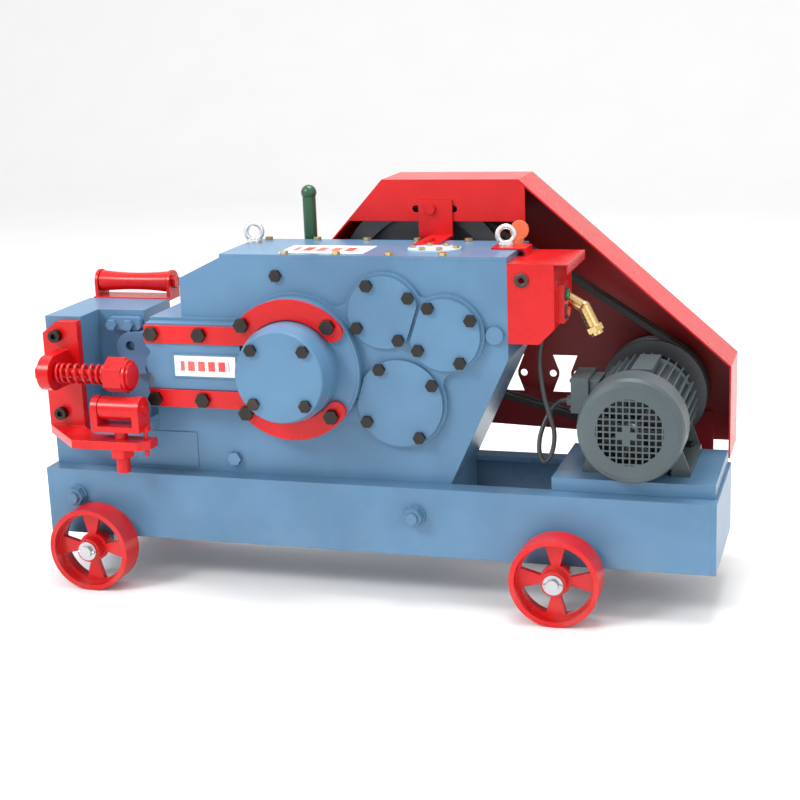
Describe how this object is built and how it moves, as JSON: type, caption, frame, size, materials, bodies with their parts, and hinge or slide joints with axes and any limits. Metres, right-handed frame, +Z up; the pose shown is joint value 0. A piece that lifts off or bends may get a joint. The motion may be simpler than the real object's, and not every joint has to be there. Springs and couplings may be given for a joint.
{
  "type": "rebar cutter",
  "caption": "Electric rebar shear: crank-driven slider and fixed blade in a cast gearbox, clutch lever, motor, V belts and guard on a wheeled channel frame.",
  "frame": {"origin": "centre of the object's bounding box, on the ground under the wheels", "axes": "+X along the rails from the jaw towards the motor, +Y from the front (crank housing) to the belt guard, +Z up"},
  "size_m": [1.2, 0.44, 0.696],
  "materials": {
    "blue_paint": "satin enamel",
    "pale_blue_paint": "satin enamel",
    "red_paint": "gloss enamel",
    "orange_plastic": "moulded",
    "dark_red_paint": "satin enamel",
    "machined_steel": "machined",
    "dark_steel": "ground, heat treated",
    "black_oxide": "black oxide",
    "yellow_zinc": "yellow zinc plating",
    "white_zinc": "white zinc plating",
    "cast_iron": "turned casting",
    "grey_paint": "satin enamel",
    "black_plastic": "moulded",
    "brass": "turned",
    "bronze": "cast",
    "rubber": "matt",
    "cable_sheath": "extruded",
    "grip_plastic": "moulded",
    "green_plastic": "moulded",
    "red_plastic": "moulded"
  },
  "bodies": {
    "frame": {"front_rail": "blue_paint", "rear_rail": "blue_paint", "end_plates": "blue_paint", "motor_base_plate": "blue_paint", "wheel_axles": "machined_steel", "body_casting": "blue_paint", "tie_bolts": "blue_paint", "top_cover": "blue_paint", "cover_bolts": "yellow_zinc", "inspection_cover": "pale_blue_paint", "eye_bolts": "white_zinc", "oil_plugs": "orange_plastic", "retaining_strips": "red_paint", "crank_housing": "blue_paint", "bearing_caps": "blue_paint", "black_bolts": "black_oxide", "shaft_bearings": "machined_steel", "fixed_blade": "blue_paint", "blade_clamp": "blue_paint", "front_bracket": "red_paint", "rear_roller_bracket": "red_paint", "guard_back_panel": "dark_red_paint", "guard_rim": "red_paint", "guard_bracket": "red_paint", "v_belts": "rubber", "switch_box": "red_paint", "cable_gland": "brass", "motor_frame": "grey_paint", "motor_end_bells": "grey_paint", "motor_fan_cover": "grey_paint", "terminal_box": "grey_paint", "motor_bolts": "black_oxide", "motor_cable": "cable_sheath", "motor_rotor": "machined_steel", "press_spring": "red_paint"},
    "flywheel_body": {"flywheel": "cast_iron", "flywheel_shaft": "machined_steel"},
    "middle_body": {"middle_shaft": "machined_steel"},
    "low_body": {"low_shaft": "machined_steel"},
    "clutch_gear_body": {"clutch_gear": "machined_steel"},
    "motor_rotor_body": {"motor_fan": "black_plastic", "motor_pulley": "cast_iron"},
    "crank_body": {"eccentric_shaft": "machined_steel"},
    "sleeve_body": {"clutch_sleeve": "machined_steel"},
    "rod_body": {"connecting_rod": "dark_steel"},
    "slider_body": {"slider": "blue_paint", "moving_blade": "dark_steel"},
    "lever_body": {"clutch_lever": "machined_steel", "lever_grip": "grip_plastic"},
    "fork_body": {"shift_fork": "bronze"},
    "wheel_fl": {"wheel_front_left": "red_paint"},
    "wheel_fr": {"wheel_front_right": "red_paint"},
    "wheel_rl": {"wheel_rear_left": "red_paint"},
    "wheel_rr": {"wheel_rear_right": "red_paint"},
    "press_body": {"press_rod": "red_paint"},
    "roller_fork_body": {"roller_fork": "red_paint"},
    "front_roller_body": {"front_roller": "red_paint"},
    "rear_roller_body": {"rear_roller": "red_paint"},
    "start_body": {"start_button": "green_plastic"},
    "stop_body": {"stop_button": "red_plastic"}
  },
  "joints": [
    {"name": "flywheel_spin", "type": "hinge", "parent": "frame", "child": "flywheel_body", "pos_m": [0.04598, 0.152, 0.50116], "axis": [0, 1, 0], "continuous": true},
    {"name": "middle_spin", "type": "hinge", "parent": "frame", "child": "middle_body", "pos_m": [0.15112, -0.046, 0.46558], "axis": [0, 1, 0], "continuous": true},
    {"name": "low_spin", "type": "hinge", "parent": "frame", "child": "low_body", "pos_m": [0.06997, -0.026, 0.34662], "axis": [0, 1, 0], "continuous": true},
    {"name": "clutch_gear_spin", "type": "hinge", "parent": "frame", "child": "clutch_gear_body", "pos_m": [-0.117, -0.014, 0.402], "axis": [0, 1, 0], "continuous": true},
    {"name": "motor_spin", "type": "hinge", "parent": "frame", "child": "motor_rotor_body", "pos_m": [0.46, 0.004, 0.318], "axis": [0, 1, 0], "continuous": true},
    {"name": "crank_turn", "type": "hinge", "parent": "frame", "child": "crank_body", "pos_m": [-0.117, -0.046, 0.402], "axis": [0, -1, 0], "range_deg": [0, 180]},
    {"name": "rod_swing", "type": "hinge", "parent": "crank_body", "child": "rod_body", "pos_m": [-0.1, -0.102, 0.402], "axis": [0, -1, 0], "range_deg": [-180, 0]},
    {"name": "slider_stroke", "type": "slide", "parent": "frame", "child": "slider_body", "axis": [-1, 0, 0], "range_m": [0, 0.034]},
    {"name": "lever_pull", "type": "hinge", "parent": "frame", "child": "lever_body", "pos_m": [-0.153, 0.0875, 0.547], "axis": [-1, 0, 0], "range_deg": [0, 12.5]},
    {"name": "fork_shift", "type": "slide", "parent": "frame", "child": "fork_body", "axis": [0, -1, 0], "range_m": [0, 0.0121]},
    {"name": "sleeve_shift", "type": "slide", "parent": "crank_body", "child": "sleeve_body", "axis": [0, -1, 0], "range_m": [0, 0.0121]},
    {"name": "wheel_fl_roll", "type": "hinge", "parent": "frame", "child": "wheel_fl", "pos_m": [-0.495, -0.184, 0.075], "axis": [0, 1, 0], "continuous": true},
    {"name": "wheel_fr_roll", "type": "hinge", "parent": "frame", "child": "wheel_fr", "pos_m": [0.346, -0.184, 0.075], "axis": [0, 1, 0], "continuous": true},
    {"name": "wheel_rl_roll", "type": "hinge", "parent": "frame", "child": "wheel_rl", "pos_m": [-0.495, 0.137, 0.075], "axis": [0, 1, 0], "continuous": true},
    {"name": "wheel_rr_roll", "type": "hinge", "parent": "frame", "child": "wheel_rr", "pos_m": [0.346, 0.137, 0.075], "axis": [0, 1, 0], "continuous": true},
    {"name": "press_rod_push", "type": "slide", "parent": "frame", "child": "press_body", "axis": [-1, 0, 0], "range_m": [0, 0.03], "stiffness_N_per_m": 3000, "deforming": ["press_spring"]},
    {"name": "roller_fork_height", "type": "slide", "parent": "frame", "child": "roller_fork_body", "axis": [0, 0, -1], "range_m": [0, 0.01]},
    {"name": "front_roller_spin", "type": "hinge", "parent": "roller_fork_body", "child": "front_roller_body", "pos_m": [-0.42, -0.191, 0.3355], "axis": [1, 0, 0], "continuous": true},
    {"name": "rear_roller_spin", "type": "hinge", "parent": "frame", "child": "rear_roller_body", "pos_m": [-0.51, 0.093, 0.507], "axis": [1, 0, 0], "continuous": true},
    {"name": "start_press", "type": "slide", "parent": "frame", "child": "start_body", "axis": [-1, 0, 0], "range_m": [0, 0.004], "stiffness_N_per_m": 600},
    {"name": "stop_press", "type": "slide", "parent": "frame", "child": "stop_body", "axis": [-1, 0, 0], "range_m": [0, 0.004], "stiffness_N_per_m": 600}
  ],
  "couplings": [
    {"joint": "middle_spin", "follows": "flywheel_spin", "ratio": -0.32143},
    {"joint": "low_spin", "follows": "flywheel_spin", "ratio": 0.099351},
    {"joint": "clutch_gear_spin", "follows": "flywheel_spin", "ratio": -0.029805},
    {"joint": "motor_spin", "follows": "flywheel_spin", "ratio": 1.7419},
    {"joint": "rod_swing", "follows": "crank_turn", "ratio": -1},
    {"joint": "slider_stroke", "follows": "crank_turn", "m_per_rad": 0.010823},
    {"joint": "fork_shift", "follows": "lever_pull", "m_per_rad": 0.055004},
    {"joint": "sleeve_shift", "follows": "lever_pull", "m_per_rad": 0.055004}
  ]
}
